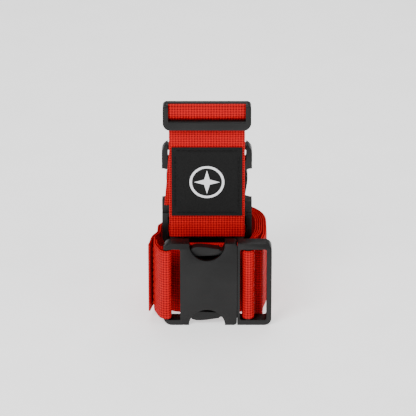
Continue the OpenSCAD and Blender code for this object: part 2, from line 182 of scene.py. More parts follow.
class Lay:
    """Places of the webbing, in mm in the coil's frame, worked out as the part works them out."""

    def __init__(self):
        webbing, coil = sizes("webbing"), sizes("coil")
        self.t = webbing.thickness / MM
        self.air = webbing.air / MM
        self.w = webbing.width / MM
        self.pitch = self.t + self.air
        self.coil = coil
        self.first_w = coil.right / MM - self.t / 2 - (coil.layers - 1) * self.pitch
        self.left_w = self.w / 2 + 3.6
        self.first_d = (coil.depth / MM - self.t) / 2 - (coil.layers - 1) * self.pitch
        (_, self.front, self.cut_end), (_, _, self.loop_line) = mm_box("label_layer")
        (_, _, self.fold_bottom), (_, _, self.fold_top) = mm_box("folded_layers")
        self.loop_plane = mm_box("front_plug_loop")[1][1] + 0.3
        socket = mm_box("front_buckle_socket")
        plug = mm_box("front_buckle_plug")
        self.buckle_y = socket[0][1]
        self.buckle_t = socket[1][1] - socket[0][1]
        self.buckle_z = (socket[0][2] + socket[1][2]) / 2
        self.buckle_w = socket[1][2] - socket[0][2]
        self.end_bar = socket[0][0] + END_BAR_IN
        self.web_z = self.buckle_z - self.w / 2
        self.plug_bar = plug[1][0] - PLUG_BAR_IN
        self.lean = math.atan((self.web_z - 0.1) / (coil.depth / MM))
        rear = mm_box("rear_buckle_socket")
        rear_plug = mm_box("rear_buckle_plug")
        self.rear_y = rear[0][1]
        self.rear_bar = rear[1][2] - END_BAR_IN
        self.rear_plug_bar = rear_plug[0][2] + PLUG_BAR_IN
        (_, stack_front, _), (_, stack_back, self.stack_top) = mm_box("folded_stack")
        self.stack_y, self.stack_back = stack_front + self.t / 2, stack_back - self.t / 2
        _, flap_front, self.flap_end = mm_box("rear_socket_loop")[0]
        self.flap_y = flap_front + self.t / 2
        # The innermost layer's way forward on the left, past the stack and the second buckle
        self.loop_side = -self.w / 2 - 9.95
        plug_side = -self.buckle_w / 2 - 1.2
        self.left_way = [(-self.w / 2 - 2.5, 5), (-self.w / 2 - 2.8, -1.5), (plug_side, -7.8),
                         (plug_side - 0.3, -20), (self.loop_side, -28)]
        self.tail_end = (-38.6, -39.6)

    def round_bar(self, buckle_front, bar_front, bar_back):
        """Where webbing round a buckle's bar lies, in front of the bar and behind it."""
        clear = self.air + self.t / 2
        return buckle_front + bar_front - clear, buckle_front + bar_back + clear


# ---- Nodes ----

def linear(value):
    """An sRGB hex value as linear RGBA."""
    parts = [int(value[i:i + 2], 16) / 255 for i in (1, 3, 5)]
    return [p / 12.92 if p <= 0.04045 else ((p + 0.055) / 1.055) ** 2.4 for p in parts] + [1.0]


def add(tree, kind, inputs=None, **settings):
    """Adds a node with its settings; an input is a value or another node's output socket."""
    node = tree.nodes.new(kind)
    for name, value in settings.items():
        setattr(node, name, value)
    for name, value in (inputs or {}).items():
        socket = node.inputs[name]
        if isinstance(value, bpy.types.NodeSocket):
            tree.links.new(value, socket)
        else:
            socket.default_value = value
    return node


def new_material(name, **shader):
    """A material with one Principled shader, its constant values set on the shader's own sockets."""
    material = bpy.data.materials.new(name)
    material.use_nodes = True
    tree = material.node_tree
    tree.nodes.clear()
    bsdf = add(tree, "ShaderNodeBsdfPrincipled", shader)
    add(tree, "ShaderNodeOutputMaterial", {"Surface": bsdf.outputs["BSDF"]})
    return material, tree, bsdf


def math_node(tree, operation, a, b=0.0, c=0.0):
    """One arithmetic step; returns its output socket."""
    return add(tree, "ShaderNodeMath", {0: a, 1: b, 2: c}, operation=operation).outputs[0]


def coloured(tree, bsdf, factor, stops):
    """Gives the shader a ramp between hex colours."""
    tree.links.new(ramp(tree, factor, stops), bsdf.inputs["Base Color"])


def embossed(tree, bsdf, height, distance, strength):
    """Gives the shader a bump for grain too fine to model."""
    bump = add(tree, "ShaderNodeBump", {"Height": height, "Distance": distance, "Strength": strength})
    tree.links.new(bump.outputs["Normal"], bsdf.inputs["Normal"])


def noise(tree, place, scale, **more):
    """The value of a noise texture at a place."""
    node = add(tree, "ShaderNodeTexNoise", {"Vector": place, "Scale": scale, **more})
    return node.outputs["Fac"]


def on_piece(tree):
    """The place on the piece, for a texture."""
    return add(tree, "ShaderNodeTexCoord").outputs["Object"]


def ramp(tree, factor, stops):
    """A colour ramp between hex colours at given places."""
    node = add(tree, "ShaderNodeValToRGB", {"Fac": factor})
    elements = node.color_ramp.elements
    elements[0].position, elements[0].color = stops[0][0], linear(stops[0][1])
    elements[1].position, elements[1].color = stops[-1][0], linear(stops[-1][1])
    for place, value in stops[1:-1]:
        elements.new(place).color = linear(value)
    return node.outputs["Color"]


def woven_polyester(name):
    """Woven high-tenacity polyester webbing.

    Weaving gives ribs along the strap crossed by picks: small crowns with a painted highlight, painted
    shade between them, and a silky sheen at low angles. The pattern follows the piece's own weave map.
    """
    webbing = sizes("webbing")
    material, tree, bsdf = new_material(name, **{
        "Roughness": 0.7, "IOR": 1.5, "Sheen Weight": 0.04, "Sheen Roughness": 0.4,
        "Sheen Tint": linear("#FF4030"), "Specular IOR Level": 0.12})
    weave = add(tree, "ShaderNodeUVMap", uv_map=WEAVE)
    axes = add(tree, "ShaderNodeSeparateXYZ", {"Vector": weave.outputs["UV"]})
    turns = 2 * math.pi
    ribs = math_node(tree, "COSINE", math_node(tree, "MULTIPLY", axes.outputs["X"], turns / webbing.rib))
    picks = math_node(tree, "COSINE", math_node(tree, "MULTIPLY", axes.outputs["Y"], turns / webbing.pick))
    # 0 between the yarns, 1 on a crown
    both = math_node(tree, "ADD", ribs, picks)
    crown = math_node(tree, "MULTIPLY_ADD", both, 0.25, 0.5)
    fibre = noise(tree, weave.outputs["UV"], 2600.0, Detail=2.0)
    patch = noise(tree, weave.outputs["UV"], 60.0, Detail=3.0)
    level = math_node(tree, "ADD", crown, math_node(tree, "MULTIPLY_ADD", fibre, 0.22, -0.11))
    level = math_node(tree, "ADD", level, math_node(tree, "MULTIPLY_ADD", patch, 0.16, -0.08))
    # The ramp paints shade in the darker red between the yarns and a painted highlight in the glint colour on
    # the crowns; the two noises add the yarn's own uneven tone
    coloured(tree, bsdf, level, [(0.05, webbing.painted_shade_red), (0.42, webbing.red), (0.74, webbing.red),
                                 (0.98, webbing.glint)])
    height = math_node(tree, "ADD", crown, math_node(tree, "MULTIPLY", fibre, 0.25))
    embossed(tree, bsdf, height, 0.00022, 0.75)
    return material


def bonded_thread(name, value, pale):
    """Bonded polyester sewing thread.

    Twisting gives fine slanting plies, and the bonding a slight gloss.
    """
    material, tree, bsdf = new_material(name, **{"Roughness": 0.6, "Specular IOR Level": 0.2})
    place = on_piece(tree)
    plies = add(tree, "ShaderNodeTexWave", {"Vector": place, "Scale": 1400.0,
                                            "Distortion": 1.0}, bands_direction="DIAGONAL")
    coloured(tree, bsdf, plies.outputs["Fac"], [(0.0, value), (1.0, pale)])
    embossed(tree, bsdf, plies.outputs["Fac"], 0.0001, 0.5)
    return material


def moulded_acetal(name):
    """Injection-moulded acetal.

    The mould's spark-eroded faces give a fine matt grain, handling polishes it in slow patches, and
    the grain is drawn a little coarser than it is so that it shows.
    """
    buckle = sizes("buckle")
    material, tree, bsdf = new_material(name, **{"IOR": 1.48, "Specular IOR Level": 0.3})
    place = on_piece(tree)
    grain = noise(tree, place, 1 / buckle.grain, Detail=3.0, Roughness=0.6)
    cells = add(tree, "ShaderNodeTexVoronoi", {"Vector": place, "Scale": 0.7 / buckle.grain})
    handled = noise(tree, place, 70.0, Detail=2.0)
    coloured(tree, bsdf, grain, [(0.25, "#070707"), (0.5, buckle.black), (0.8, "#131313")])
    gloss = add(tree, "ShaderNodeMapRange", {"Value": handled, "From Min": 0.3,
                                             "From Max": 0.7, "To Min": 0.38, "To Max": 0.52})
    tree.links.new(gloss.outputs["Result"], bsdf.inputs["Roughness"])
    relief = math_node(tree, "ADD", grain,
                       math_node(tree, "MULTIPLY", cells.outputs["Distance"], 0.5))
    embossed(tree, bsdf, relief, 0.00006, 0.6)
    return material


def coated_leatherette(name):
    """Polyurethane-coated leatherette, embossed with a fine felt-like grain.

    Matt, with soft creases, and a cut edge that is a little greener and shinier than the face.
    """
    label = sizes("label")
    material, tree, bsdf = new_material(name, **{
        "Roughness": 0.8, "Specular IOR Level": 0.15, "Sheen Weight": 0.02, "Sheen Roughness": 0.5})
    place = on_piece(tree)
    grain = noise(tree, place, 1800.0, Detail=4.0)
    emboss = add(tree, "ShaderNodeTexVoronoi", {"Vector": place, "Scale": 1250.0},
                 feature="SMOOTH_F1")
    face = ramp(tree, grain, [(0.25, "#0C0C0C"), (0.5, label.black), (0.85, "#1E1E1E")])
    shape = add(tree, "ShaderNodeNewGeometry")
    side = add(tree, "ShaderNodeSeparateXYZ", {"Vector": shape.outputs["True Normal"]})
    facing = math_node(tree, "ABSOLUTE", side.outputs["Y"])
    mix = add(tree, "ShaderNodeMix", {"Factor": facing}, data_type="RGBA")
    mix.inputs[6].default_value = linear(label.edge)
    tree.links.new(face, mix.inputs[7])
    tree.links.new(mix.outputs[2], bsdf.inputs["Base Color"])
    relief = math_node(tree, "ADD", grain,
                       math_node(tree, "MULTIPLY", emboss.outputs["Distance"], 0.8))
    embossed(tree, bsdf, relief, 0.0001, 0.5)
    return material


def screen_print(name):
    """Thick screen-printed ink: an even white film with a faint orange-peel surface."""
    material, tree, bsdf = new_material(name, **{"Roughness": 0.42})
    place = on_piece(tree)
    peel = noise(tree, place, 900.0, Detail=2.0)
    coloured(tree, bsdf, peel, [(0.3, "#E6E6EA"), (0.7, sizes("label").white)])
    embossed(tree, bsdf, peel, 0.00004, 0.4)
    return material


def opal_acrylic(name):
    """Opal acrylic of a light table, for the floor: a matt white sheet that glows evenly."""
    material, tree, bsdf = new_material(name, **{
        "Roughness": 0.9, "Emission Color": (1.0, 1.0, 1.0, 1.0), "Emission Strength": 0.9})
    place = on_piece(tree)
    fleck = noise(tree, place, 30.0)
    coloured(tree, bsdf, fleck, [(0.3, "#F4F4F4"), (0.7, "#FAFAFA")])
    return material


MAKERS = {
    "Woven polyester webbing": woven_polyester,
    "Moulded acetal": moulded_acetal,
    "Coated leatherette": coated_leatherette,
    "Screen-printed ink": screen_print,
    "Opal acrylic": opal_acrylic,
    "Red bonded thread": lambda name: bonded_thread(name, "#A80812", "#E03020"),
    "Black bonded thread": lambda name: bonded_thread(name, "#040404", "#0A0A0A"),
}


def finish_of(name):
    """The material of that name, made the first time it is asked for."""
    return bpy.data.materials.get(name) or MAKERS[name](name)


# ---- Geometry Nodes ----

def new_tree(name, inputs):
    """A Geometry Nodes tree with named inputs; returns the tree and its group input node."""
    tree = bpy.data.node_groups.new(name, "GeometryNodeTree")
    tree.interface.new_socket("Geometry", in_out="INPUT", socket_type="NodeSocketGeometry")
    for label, kind in inputs:
        tree.interface.new_socket(label, in_out="INPUT", socket_type="NodeSocket" + kind)
    tree.interface.new_socket("Geometry", in_out="OUTPUT", socket_type="NodeSocketGeometry")
    return tree, add(tree, "NodeGroupInput")


def close_tree(tree, geometry, source):
    """Ends a tree in Realize Instances and Set Material."""
    real = add(tree, "GeometryNodeRealizeInstances", {"Geometry": geometry})
    done = add(tree, "GeometryNodeSetMaterial", {"Geometry": real.outputs["Geometry"],
                                                 "Material": source.outputs["Material"]})
    add(tree, "NodeGroupOutput", {"Geometry": done.outputs["Geometry"]})
    return tree


def wave(tree, place, step):
    """1 at every step along a place and -1 between."""
    turns = math_node(tree, "DIVIDE", place, step)
    return math_node(tree, "COSINE", math_node(tree, "MULTIPLY", turns, 2 * math.pi))


def webbing_tree():
    """Sweeps the webbing's ribbed section along a path that lies in a plane, and weaves its surface."""
    tree, source = new_tree("Webbing band", [
        ("Width", "Float"), ("Thickness", "Float"), ("Points round", "Int"), ("Rib", "Float"),
        ("Rib relief", "Float"), ("Pick", "Float"), ("Pick relief", "Float"), ("Start", "Float"),
        ("Material", "Material")])
    get = source.outputs
    # The path, with its length stored along it
    path = add(tree, "GeometryNodeMeshToCurve", {"Mesh": get["Geometry"]})
    path = add(tree, "GeometryNodeSetCurveNormal", {"Curve": path.outputs["Curve"]}, mode="Z_UP")
    spline = add(tree, "GeometryNodeSplineParameter")
    along = math_node(tree, "ADD", spline.outputs["Length"], get["Start"])
    path = add(tree, "GeometryNodeStoreNamedAttribute",
               {"Geometry": path.outputs["Curve"], "Name": "along", "Value": along}, data_type="FLOAT")
    # The section: a flat outline with round selvedges, its top and bottom rising over each rib
    outline = add(tree, "GeometryNodeCurvePrimitiveQuadrilateral",
                  {"Width": get["Thickness"], "Height": get["Width"]})
    corner = math_node(tree, "MULTIPLY", get["Thickness"], 0.48)
    outline = add(tree, "GeometryNodeFilletCurve",
                  {"Curve": outline.outputs["Curve"], "Radius": corner, "Count": 4}, mode="POLY")
    outline = add(tree, "GeometryNodeResampleCurve",
                  {"Curve": outline.outputs["Curve"], "Count": get["Points round"]}, mode="COUNT")
    place = add(tree, "ShaderNodeSeparateXYZ", {"Vector": add(tree, "GeometryNodeInputPosition").outputs[0]})
    outline = add(tree, "GeometryNodeStoreNamedAttribute",
                  {"Geometry": outline.outputs["Curve"], "Name": "across", "Value": place.outputs["Y"]},
                  data_type="FLOAT")
    rise = math_node(tree, "MULTIPLY", wave(tree, place.outputs["Y"], get["Rib"]), get["Rib relief"])
    side = math_node(tree, "DIVIDE", place.outputs["X"], math_node(tree, "MULTIPLY", get["Thickness"], 0.5))
    rise = add(tree, "ShaderNodeCombineXYZ", {"X": math_node(tree, "MULTIPLY", rise, side)})
    outline = add(tree, "GeometryNodeSetPosition",
                  {"Geometry": outline.outputs["Geometry"], "Offset": rise.outputs["Vector"]})
    band = add(tree, "GeometryNodeCurveToMesh", {
        "Curve": path.outputs["Geometry"], "Profile Curve": outline.outputs["Geometry"], "Fill Caps": True})
    # The picks rise on the finished surface
    across = add(tree, "GeometryNodeInputNamedAttribute", {"Name": "across"}, data_type="FLOAT")
    along = add(tree, "GeometryNodeInputNamedAttribute", {"Name": "along"}, data_type="FLOAT")
    ribs = wave(tree, across.outputs["Attribute"], get["Rib"])
    picks = wave(tree, along.outputs["Attribute"], get["Pick"])
    crown = math_node(tree, "MULTIPLY", math_node(tree, "ADD", ribs, 1.4), picks)
    rise = math_node(tree, "MULTIPLY", math_node(tree, "MULTIPLY", crown, 0.42), get["Pick relief"])
    normal = add(tree, "GeometryNodeInputNormal").outputs[0]
    away = add(tree, "ShaderNodeVectorMath", {0: normal, "Scale": rise}, operation="SCALE")
    band = add(tree, "GeometryNodeSetPosition", {"Geometry": band.outputs["Mesh"], "Offset": away.outputs[0]})
    weave = add(tree, "ShaderNodeCombineXYZ",
                {"X": across.outputs["Attribute"], "Y": along.outputs["Attribute"]})
    band = add(tree, "GeometryNodeStoreNamedAttribute", {
        "Geometry": band.outputs["Geometry"], "Name": WEAVE, "Value": weave.outputs["Vector"]},
        data_type="FLOAT2", domain="CORNER")
    smooth = add(tree, "GeometryNodeSetShadeSmooth", {"Geometry": band.outputs["Geometry"]})
    return close_tree(tree, smooth.outputs["Geometry"], source)


def stitch_tree():
    """Sets a stitch on every edge of the given mesh, lying along it: a thread with round ends."""
    tree, source = new_tree("Stitches", [("Thread", "Float"), ("Sink", "Float"), ("Material", "Material")])
    get = source.outputs
    path = add(tree, "GeometryNodeMeshToCurve", {"Mesh": get["Geometry"]})
    path = add(tree, "GeometryNodeResampleCurve", {"Curve": path.outputs["Curve"], "Count": 9}, mode="COUNT")
    spline = add(tree, "GeometryNodeSplineParameter")
    # The thread's radius follows half a circle at each end, so that it dives into the cloth
    half = math_node(tree, "ABSOLUTE", math_node(tree, "MULTIPLY_ADD", spline.outputs["Factor"], 2.0, -1.0))
    full = math_node(tree, "SUBTRACT", 1.02, math_node(tree, "POWER", half, 5.0))
    radius = math_node(tree, "POWER", full, 0.5)
    path = add(tree, "GeometryNodeSetCurveRadius", {"Curve": path.outputs["Curve"], "Radius": radius})
    ring = add(tree, "GeometryNodeCurvePrimitiveCircle", {
        "Resolution": 8, "Radius": math_node(tree, "MULTIPLY", get["Thread"], 0.5)})
    thread = add(tree, "GeometryNodeCurveToMesh", {
        "Curve": path.outputs["Curve"], "Profile Curve": ring.outputs["Curve"], "Fill Caps": True})
    smooth = add(tree, "GeometryNodeSetShadeSmooth", {"Geometry": thread.outputs["Mesh"]})
    return close_tree(tree, smooth.outputs["Geometry"], source)


TREES = {"Webbing band": webbing_tree, "Stitches": stitch_tree}


def through_tree(start, tree_name, **values):
    """Runs a mesh through a tree and returns the plain mesh that it makes."""
    tree = bpy.data.node_groups.get(tree_name) or TREES[tree_name]()
    obj = bpy.data.objects.new("on its way", start)
    bpy.context.scene.collection.objects.link(obj)
    modifier = obj.modifiers.new("Made by nodes", "NODES")
    modifier.node_group = tree
    for item in tree.interface.items_tree:
        if item.in_out == "INPUT" and item.name in values:
            modifier[item.identifier] = values[item.name]
    done = obj.evaluated_get(bpy.context.evaluated_depsgraph_get())
    mesh = bpy.data.meshes.new_from_object(done)
    obj.modifiers.remove(modifier)
    bpy.data.objects.remove(obj)
    if not mesh.vertices:
        raise RuntimeError(f"{tree_name} made nothing")
    return mesh


def polyline(points):
    """A mesh of one open line through 3-D points in metres."""
    mesh = bpy.data.meshes.new("line")
    mesh.from_pydata([tuple(p) for p in points], [(i, i + 1) for i in range(len(points) - 1)], [])
    return mesh


def new_piece(name, mesh, finish):
    """An object for a finished mesh, with its material."""
    mesh.materials.clear()
    mesh.materials.append(finish_of(finish))
    mesh.name = name
    obj = bpy.data.objects.new(name, mesh)
    bpy.context.scene.collection.objects.link(obj)
    return obj


def settled(obj, body, nodes):
    """Attaches a piece to the body that it rides, if any, and hides the CAD nodes that it stands for."""
    if body:
        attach(obj, body)
    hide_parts(*nodes)
    return obj


# ---- Paths, in mm ----

def arc(c, r, a0, a1, n=6):
    turns = np.radians(np.linspace(a0, a1, n + 1))
    return [(c[0] + r * math.cos(t), c[1] + r * math.sin(t)) for t in turns]


def ring(lay, angle, k):
    """A point of the coil's layer k, at an angle round it."""
    c, s = math.cos(math.radians(angle)), math.sin(math.radians(angle))
    if s >= 0:
        square = lay.coil.back_square
    elif k < 3.5:
        square = lay.coil.inner_square
    else:
        square = lay.coil.front_square
    power = lambda v: math.copysign(abs(v) ** (2 / square), v)
    wide = lay.first_w if c > 0 else lay.left_w
    return ((wide + lay.pitch * k) * power(c), (lay.first_d + lay.pitch * k) * power(s))


def turn(lay, a0, a1, k0, k1):
    """Part of a turn of the coil; its layer changes evenly from k0 to k1."""
    n = math.ceil(abs(a1 - a0) / TURN_STEP)
    return [ring(lay, a0 + (a1 - a0) * i / n, k0 + (k1 - k0) * i / n) for i in range(n + 1)]


def fold(a, b, s):
    """The middle of a fold from a to b; s is 1 where it bulges to the right of the line from b to a."""
    c = ((a[0] + b[0]) / 2, (a[1] + b[1]) / 2)
    r = ((a[0] - b[0]) / 2, (a[1] - b[1]) / 2)
    made = []
    for i in range(1, 8):
        t = math.pi * i / 8
        made.append((c[0] + r[0] * math.cos(t) + s * r[1] * math.sin(t),
                     c[1] + r[1] * math.cos(t) - s * r[0] * math.sin(t)))
    return made


def smooth_path(points, step, ease=0.35):
    """Evenly spaced points on a line whose corners are eased, at about the given step."""
    p = np.array(points, float)
    dist = np.concatenate([[0], np.cumsum(np.linalg.norm(np.diff(p, axis=0), axis=1))])
    n = max(4, int(round(dist[-1] / (step / 3))))
    s = np.linspace(0, dist[-1], n + 1)
    q = np.stack([np.interp(s, dist, p[:, i]) for i in range(p.shape[1])], axis=1)
    reach = int(round(ease / (dist[-1] / n)))
    if reach > 0:
        kernel = np.hanning(2 * reach + 3)
        kernel /= kernel.sum()
        wide = np.concatenate([2 * q[0] - q[reach + 1:0:-1], q, 2 * q[-1] - q[-2:-reach - 3:-1]])
        q = np.stack([np.convolve(wide[:, i], kernel, mode="valid") for i in range(q.shape[1])], axis=1)
    dist = np.concatenate([[0], np.cumsum(np.linalg.norm(np.diff(q, axis=0), axis=1))])
    m = max(2, int(round(dist[-1] / step)))
    s = np.linspace(0, dist[-1], m + 1)
    return [tuple(np.interp(v, dist, q[:, i]) for i in range(q.shape[1])) for v in s]


# ---- Webbing ----

def band(path, points_round=COARSE, picks=False, start=0.0):
    """A band of webbing whose middle follows a path in mm in the XY plane, standing along Z about 0."""
    webbing = sizes("webbing")
    flat = polyline([(x * MM, y * MM, 0.0) for x, y in path])
    return through_tree(flat, "Webbing band", **{
        "Width": webbing.width, "Thickness": webbing.thickness, "Points round": points_round,
        "Rib": webbing.rib, "Rib relief": webbing.rib_relief, "Pick": webbing.pick,
        "Pick relief": webbing.pick_relief if picks else 0.0, "Start": start,
        "Material": finish_of("Woven polyester webbing")})


def coordinates(mesh):
    co = np.empty(len(mesh.vertices) * 3, np.float32)
    mesh.vertices.foreach_get("co", co)
    return co.reshape(-1, 3).astype(float)


def set_coordinates(mesh, co):
    mesh.vertices.foreach_set("co", np.ascontiguousarray(co, np.float32).ravel())
    mesh.update()


def eased(value, start, end):
    """0 before start and 1 after end, with a smooth way between."""
    share = np.clip((value - start) / (end - start), 0, 1)
    return share * share * (3 - 2 * share)


def stood_up(mesh, lay, lean=True):
    """Stands a band up on the coil's level, and leans back what is behind the buckle."""
    co = coordinates(mesh) / MM
    co[:, 2] += lay.web_z + lay.w / 2
    # What passes behind the buckle has slipped down to the ground
    x, y = co[:, 0], co[:, 1]
    close = (1 - eased(y, -37.4, -35.8)) * eased(x, 0, 10)
    inner = (1 - eased(np.abs(x), 27, 34)) * (1 - eased(y, -30, -14))
    co[:, 2] -= SLIP * eased(y, -43, -39) * np.maximum(close, inner)
    if lean:
        back = np.maximum(co[:, 1] - lay.loop_plane, 0.0)
        high = co[:, 2] - lay.web_z
        c, s = math.cos(lay.lean), math.sin(lay.lean)
        # Eased in over the first few millimetres, so that the webbing bends and doesn't break
        share = eased(back, 0, 6)
        co[:, 1] += share * (back * (c - 1) + high * s)
        co[:, 2] += share * (high * (c - 1) - back * s)
    set_coordinates(mesh, placed(co))
    return mesh


def hung(mesh, lay, shape=None):
    """Hangs a band whose path was drawn in Y and Z; shape may move its points, in mm."""
    co = coordinates(mesh) / MM
    co = np.stack([co[:, 2], co[:, 0], co[:, 1]], axis=1)
    if shape:
        co = shape(co)
    set_coordinates(mesh, placed(co))
    return mesh


def webbing_piece(name, mesh, body, nodes):
    """Makes the object of a band, attaches it to its body, if any, and hides the CAD nodes that it stands
    for.
    """
    obj = settled(new_piece(name, mesh, "Woven polyester webbing"), body, nodes)
    sizes("webbing").width
    return obj


class STRAP_OT_coil(bpy.types.Operator):
    """Rolls the first strap into its coil, with its folds and its free tail"""
    bl_idname = "strap.coil"
    bl_label = "Coil"

    def execute(self, context):
        lay = Lay()
        path = turn(lay, LET_GO, FOLD_SIDE, 4, 4)
        # To and fro on the right, between folds from each layer to the next
        for layer, end, side, to in ((3, -40, FOLD_SIDE, -1), (2, 112, -40, 1), (1, -136, 112, -1),
                                     (0, 164, -136, 1)):
            path += fold(ring(lay, side, layer + 1), ring(lay, side, layer), to)
            path += turn(lay, side, end, layer, layer)
        path += lay.left_way
        path = smooth_path(path, 1.1, 1.2)
        mesh = stood_up(band(path), lay)
        webbing_piece("coil_of_webbing", mesh, "coil", ["coil_webbing"])
        tail = turn(lay, LET_GO, FOLD_SIDE, 5, 5) + turn(lay, FOLD_SIDE, 164, 5, 1.15)[1:]
        tail += [(x - lay.pitch - 0.15, y) for x, y in lay.left_way[:4]]
        tail += [(lay.loop_side - 1.2, -27), lay.tail_end]
        tail = smooth_path(tail, 1.1, 2.0)
        mesh = stood_up(band(tail, start=0.4), lay)
        webbing_piece("tail", mesh, "coil", ["coil_tail"])
        return {"FINISHED"}


class STRAP_OT_front_loops(bpy.types.Operator):
    """Loops the first strap round the bars of the front buckle"""
    bl_idname = "strap.front_loops"
    bl_label = "Front loops"

    def execute(self, context):
        lay = Lay()
        r = END_BAR_R + lay.air + lay.t / 2
        x, (y0, y1) = lay.end_bar, lay.round_bar(lay.buckle_y, 2, 9)
        side, plane = lay.loop_side, -lay.coil.depth / MM / 2
        path = [lay.left_way[-1], (side, plane), ((side + x) / 2 - 2, plane - 6),
                (x - 4.2, y0 + 2.6), (x - 2, y0 + 0.5)]
        path += arc((x, y0 + r), r, 270, 360) + arc((x, y1 - r), r, 0, 90)
        path += [(x - 2, y1 + 0.4), (side + lay.pitch + 1, plane - 1.6), (side + lay.pitch, plane + 0.6),
                 (side + lay.pitch, plane + 5)]
        path = smooth_path(path, 0.45, 1.6)
        mesh = stood_up(band(path, FINE, picks=True), lay, lean=False)
        webbing_piece("socket_loop", mesh, "coil", ["front_socket_loop"])

        x, r = lay.plug_bar, PLUG_BAR_R + lay.air + lay.t / 2
        y0, y1 = lay.round_bar(lay.buckle_y, 2.2, 8.7)
        outer, inner = ring(lay, -12, 5)[0] - 2.4, ring(lay, -12, 4)[0] - 2.4
        back, side = lay.buckle_y + lay.buckle_t + lay.t / 2 + 0.1, x + r
        path = turn(lay, LET_GO, -12, 5, 5) + [(outer, lay.loop_plane), (outer - 0.1, back + 1)]
        path += [(outer - 1, back + 0.1), (side + 2, back), (side + 0.5, back - 1.4), (side + 0.1, back - 3)]
        path += arc((x, y0 + r), r, 0, -180, 12) + arc((x, y1 - r), r, 180, 100, 5)
        path += [(x + 0.9, y1 + 0.4), (side - 1.2, y1 + 2.4), (side - 0.3, back + 0.6)]
        back += lay.pitch + 0.1
        path += [(side + 1.2, back), (inner - 0.8, back), (inner, lay.loop_plane)]
        path += turn(lay, -12, LET_GO, 4, 4)
        path = smooth_path(path, 0.6, 0.8)
        mesh = stood_up(band(path, 200, picks=True), lay)
        loop = webbing_piece("plug_loop", mesh, None, ["front_plug_loop"])
        start, end = placed([(0, 4, 30), (0, lay.loop_plane - 3.5, 30)])
        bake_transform(loop, "coil", "front_plug", start=tuple(start), end=tuple(end))
        return {"FINISHED"}


class STRAP_OT_front_panel(bpy.types.Operator):
    """Hangs the front panel of the second strap: the sewn end, its fold and the layers behind it"""
    bl_idname = "strap.front_panel"
    bl_label = "Front panel"

    def execute(self, context):
        lay = Lay()
        y1 = lay.front + lay.t / 2
        y2 = y1 + lay.pitch
        join = lay.loop_line - 7
        path = smooth_path([(y1, lay.cut_end), (y1, join)], 0.45)
        mesh = hung(band(path, FINE, picks=True), lay)
        webbing_piece("sewn_end", mesh, "bundle", ["label_layer"])

        low = lay.fold_bottom + lay.t / 2 + lay.pitch / 2
        high = lay.fold_top - lay.t / 2 - lay.pitch / 2
        path = [(y2, join)] + arc((y2 + lay.pitch / 2, low), lay.pitch / 2, 180, 360, 8)
        path += arc((y2 + 1.5 * lay.pitch, high), lay.pitch / 2, 180, 0, 8)
        path += [(y2 + 2 * lay.pitch, FOLDS_JOIN)]
        path = smooth_path(path, 0.9, 0.3)
        mesh = hung(band(path, FINE, picks=True), lay)
        webbing_piece("folded_front", mesh, "bundle", ["folded_layers"])
        return {"FINISHED"}


class STRAP_OT_slider_loop(bpy.types.Operator):
    """Loops the second strap round the slider's centre bar, bellying out of its window"""
    bl_idname = "strap.slider_loop"
    bl_label = "Slider loop"

    def execute(self, context):
        lay = Lay()
        y1 = lay.front + lay.t / 2
        y2 = y1 + lay.pitch
        z = lay.loop_line - 7
        low, top = mm_box("slider_frame")[0][2], mm_box("slider_frame")[1][2]
        window = low + 0.38 * (top - low)
        path = [(y1, z), (y1, low + 1.5), (y1 - 0.3, window - 2.2), (y1 - 1.6, window + 0.3),
                (y1 - 3.4, window + 2.4), (y1 - 4.2, window + 5), (y1 - 4.2, top - 3.4),
                (y1 - 3.7, top - 1.2), (y1 - 2.9, top - 0.45),
                (y1 - 2.2, top - 1.1), (y1 - 2.0, top - 2.6), (y1 - 1.2, top - 3.65), (y2 + 0.6, top - 3.75),
                (y2 + 1.5, top - 4.9), (y2 + 1.6, window + 1.5), (y2 + 0.2, low + 4), (y2, low), (y2, z)]
        path = smooth_path(path, 0.45, 1.0)

        def spread(co):
            """Webbing pressed into the window spreads to its rails."""
            share = np.clip((co[:, 2] - window + 3) / 3, 0, 1)
            co[:, 0] *= 1 + 0.018 * share
            return co

        mesh = hung(band(path, FINE, picks=True), lay, spread)
        loop = webbing_piece("slider_webbing", mesh, None, ["slider_loop"])
        start, end = placed([(0, y1, z + 2), (0, y1, z + 10)])
        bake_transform(loop, "bundle", "slider", start=tuple(start), end=tuple(end))
        return {"FINISHED"}


